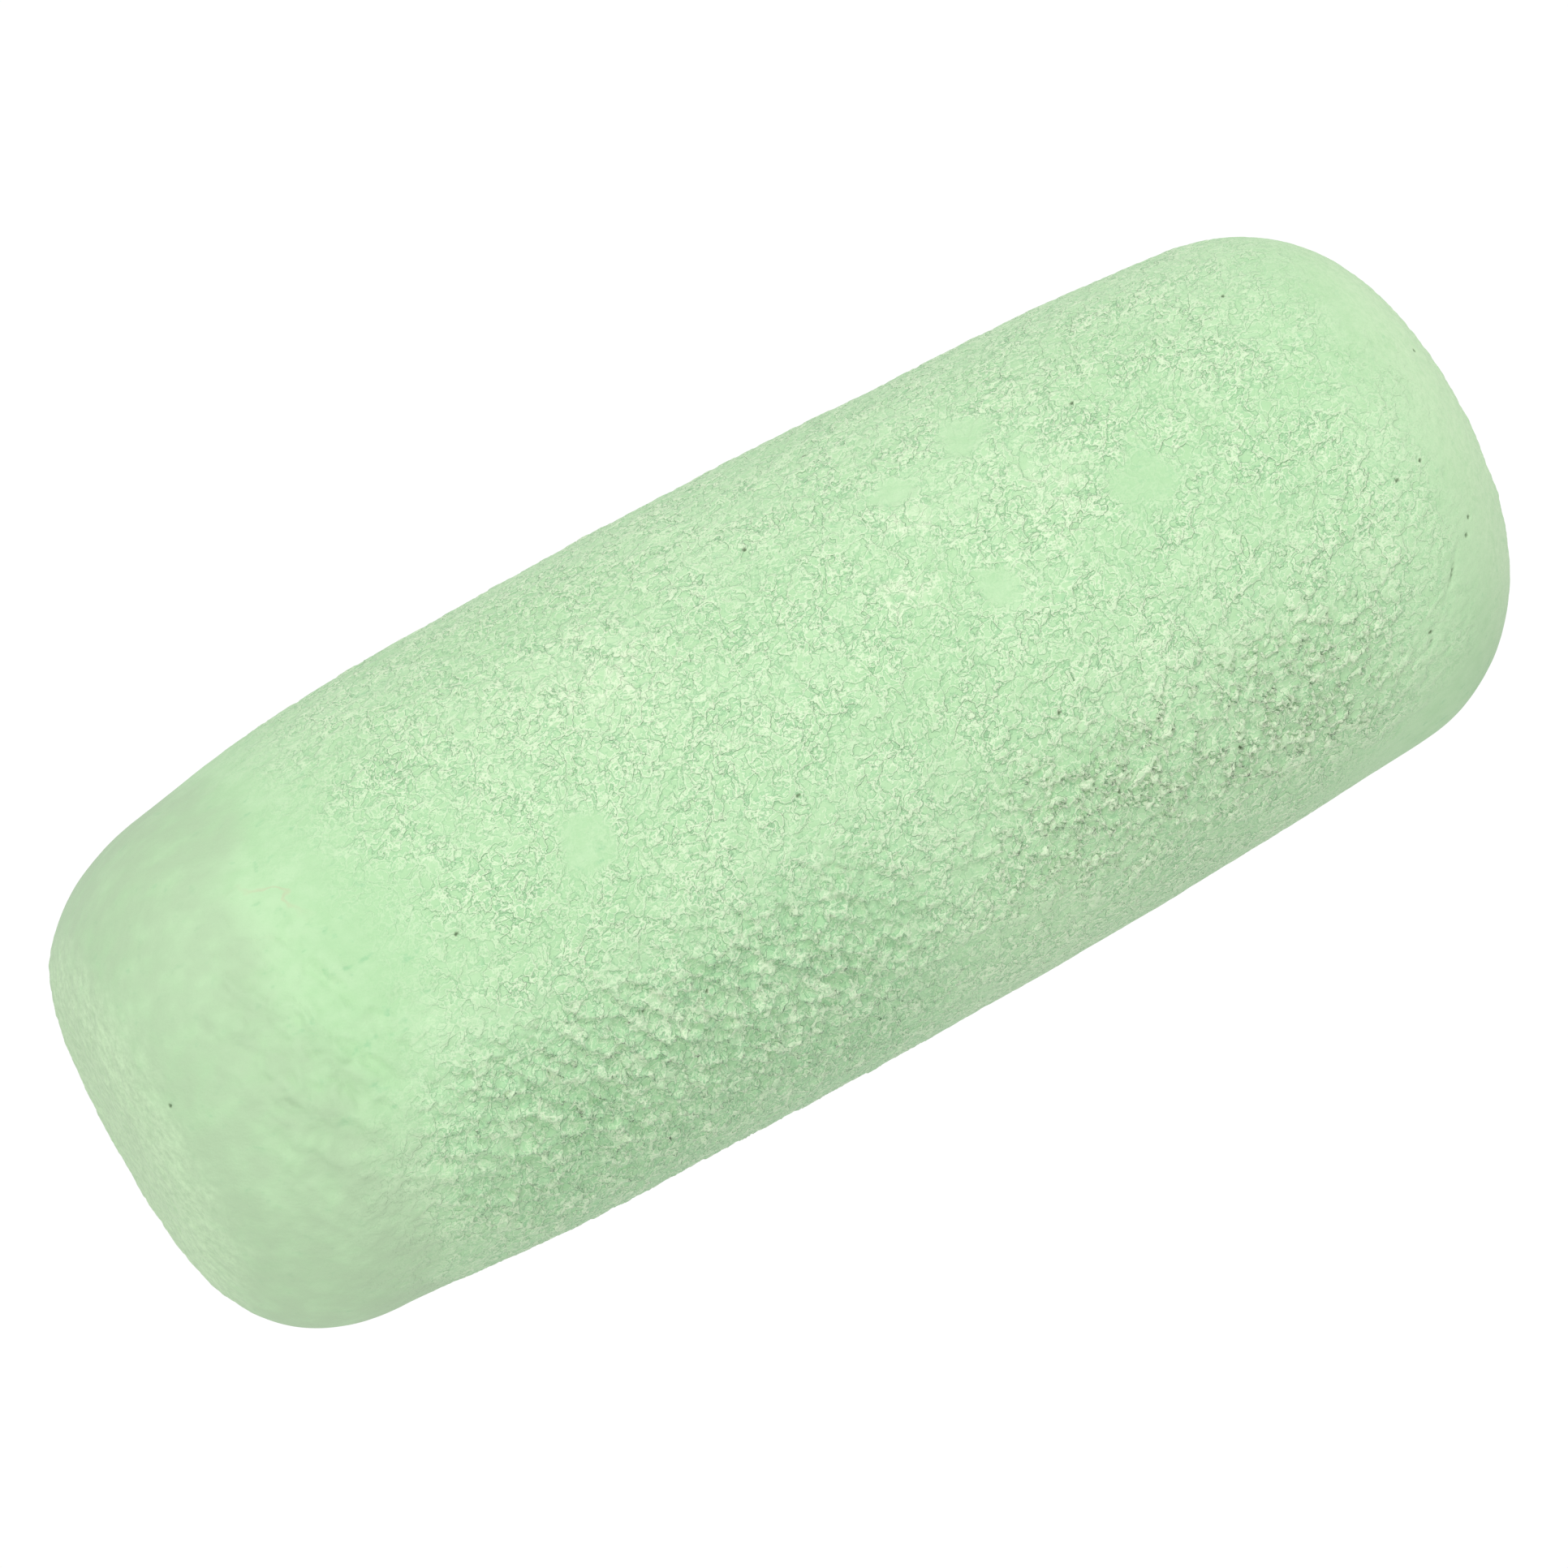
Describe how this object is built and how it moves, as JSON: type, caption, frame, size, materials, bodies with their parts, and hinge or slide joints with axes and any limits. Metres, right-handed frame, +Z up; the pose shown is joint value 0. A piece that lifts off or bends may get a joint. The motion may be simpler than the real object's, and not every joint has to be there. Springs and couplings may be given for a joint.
{
  "type": "chunky chalk crayon",
  "caption": "Thick barrel-shaped stick of cast chalk with rounded, flat-tipped ends, for drawing on boards and paving.",
  "frame": {"origin": "under the middle of the stick, on the plane it lies on", "axes": "+X along the stick from its left tip to its right tip, +Z up from the plane it lies on, +Y away from someone who has the left tip on their left"},
  "size_m": [0.068, 0.027, 0.0267],
  "materials": {
    "chalk": "matt cast chalk with a flaked, porous skin"
  },
  "bodies": {
    "root": {"chalk_stick": "chalk"}
  },
  "joints": []
}
